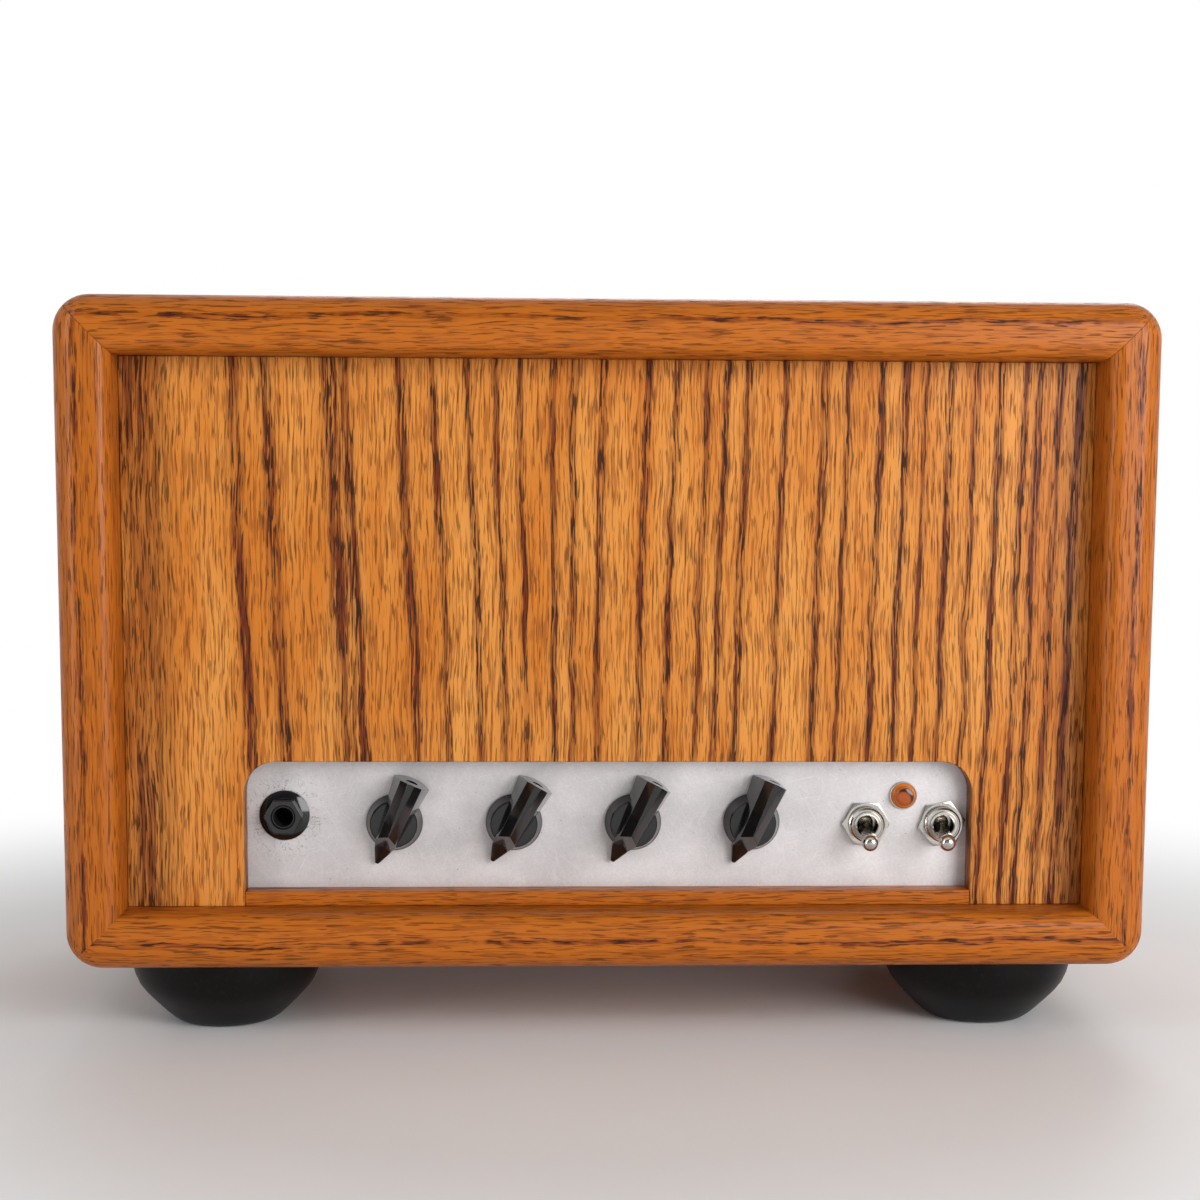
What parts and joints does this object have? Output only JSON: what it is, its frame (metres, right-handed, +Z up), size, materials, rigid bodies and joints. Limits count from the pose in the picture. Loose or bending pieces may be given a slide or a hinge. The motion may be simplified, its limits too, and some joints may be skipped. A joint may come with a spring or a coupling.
{
  "type": "tube amplifier",
  "caption": "Valve amplifier head in a round-edged mitred oak cabinet, with a recessed front panel, a metal control strip with pointer knobs and toggles, and an open back.",
  "frame": {"origin": "on the floor under the middle of the cabinet", "axes": "+X along the front from the input jack towards the switches, +Y from the front panel to the open back, +Z up"},
  "size_m": [0.362, 0.2, 0.2475],
  "materials": {
    "oak_frame": "satin oil over open grain",
    "oak_panel": "satin oil over open grain",
    "oak_blocks": "bare planed oak",
    "aluminium_sheet": "bare sheet, fine scratches",
    "nickel": "bright nickel plate",
    "steel": "zinc plated",
    "gloss_black": "polished moulding",
    "matte_black": "satin moulding",
    "rubber": "matte",
    "amber_lens": "coloured lens",
    "clear_glass": "clear blown glass",
    "ceramic": "glazed ceramic look",
    "plate_grey": "carbonised plate",
    "lamination": "varnished laminations",
    "transformer_black": "satin enamel",
    "winding_wrap": "varnished paper",
    "phenolic": "laminate board",
    "capacitor_sleeve": "shrink sleeve",
    "film_amber": "dipped film",
    "resistor_body": "lacquered"
  },
  "bodies": {
    "amplifier": {"cabinet_top": "oak_frame", "cabinet_bottom": "oak_frame", "cabinet_left_side": "oak_frame", "cabinet_right_side": "oak_frame", "front_panel": "oak_panel", "sill_strip": "oak_frame", "panel_cleats": "oak_blocks", "back_rail": "oak_frame", "rail_cleats": "oak_blocks", "rail_screws": "steel", "rubber_feet": "rubber", "foot_washers": "steel", "foot_screws": "steel", "chassis": "aluminium_sheet", "chassis_bottom_plate": "aluminium_sheet", "chassis_screws": "steel", "chassis_screw_nuts": "steel", "input_jack": "matte_black", "input_jack_nut": "gloss_black", "potentiometers": "steel", "potentiometer_nuts": "nickel", "toggle_switches": "nickel", "toggle_nuts": "nickel", "pilot_bezel": "nickel", "pilot_lens": "amber_lens", "valve_sockets": "ceramic", "valve_glass": "clear_glass", "valve_bases": "matte_black", "valve_electrodes": "plate_grey", "mains_transformer_core": "lamination", "mains_transformer_covers": "transformer_black", "mains_transformer_bolts": "steel", "output_transformer_core": "lamination", "output_transformer_winding": "winding_wrap", "turret_board": "phenolic", "filter_capacitors": "capacitor_sleeve", "coupling_capacitors": "film_amber", "resistors": "resistor_body", "mains_inlet": "matte_black", "inlet_screws": "steel", "speaker_jack": "matte_black", "speaker_jack_nut": "nickel", "fuse_holder": "matte_black"},
    "knob_1": {"pointer_knob_1": "gloss_black", "knob_set_screw_1": "steel", "potentiometer_shaft_1": "steel"},
    "knob_2": {"pointer_knob_2": "gloss_black", "knob_set_screw_2": "steel", "potentiometer_shaft_2": "steel"},
    "knob_3": {"pointer_knob_3": "gloss_black", "knob_set_screw_3": "steel", "potentiometer_shaft_3": "steel"},
    "knob_4": {"pointer_knob_4": "gloss_black", "knob_set_screw_4": "steel", "potentiometer_shaft_4": "steel"},
    "lever_1": {"toggle_lever_1": "nickel"},
    "lever_2": {"toggle_lever_2": "nickel"},
    "fuse_carrier": {"fuse_cap": "matte_black", "fuse": "clear_glass"}
  },
  "joints": [
    {"name": "knob_1_turn", "type": "hinge", "parent": "amplifier", "child": "knob_1", "pos_m": [-0.0728, -0.0748, 0.0725], "axis": [0, 1, 0], "range_deg": [0, 300]},
    {"name": "knob_2_turn", "type": "hinge", "parent": "amplifier", "child": "knob_2", "pos_m": [-0.0321, -0.0748, 0.0725], "axis": [0, 1, 0], "range_deg": [0, 300]},
    {"name": "knob_3_turn", "type": "hinge", "parent": "amplifier", "child": "knob_3", "pos_m": [0.0086, -0.0748, 0.0725], "axis": [0, 1, 0], "range_deg": [0, 300]},
    {"name": "knob_4_turn", "type": "hinge", "parent": "amplifier", "child": "knob_4", "pos_m": [0.0493, -0.0748, 0.0725], "axis": [0, 1, 0], "range_deg": [0, 300]},
    {"name": "lever_1_flip", "type": "hinge", "parent": "amplifier", "child": "lever_1", "pos_m": [0.0888, -0.0732, 0.0718], "axis": [-0.9659, 0, 0.2588], "range_deg": [0, 25]},
    {"name": "lever_2_flip", "type": "hinge", "parent": "amplifier", "child": "lever_2", "pos_m": [0.115, -0.0732, 0.0718], "axis": [-0.9659, 0, 0.2588], "range_deg": [0, 25]},
    {"name": "fuse_carrier_pull", "type": "slide", "parent": "amplifier", "child": "fuse_carrier", "axis": [0, 1, 0], "range_m": [0, 0.032]}
  ]
}
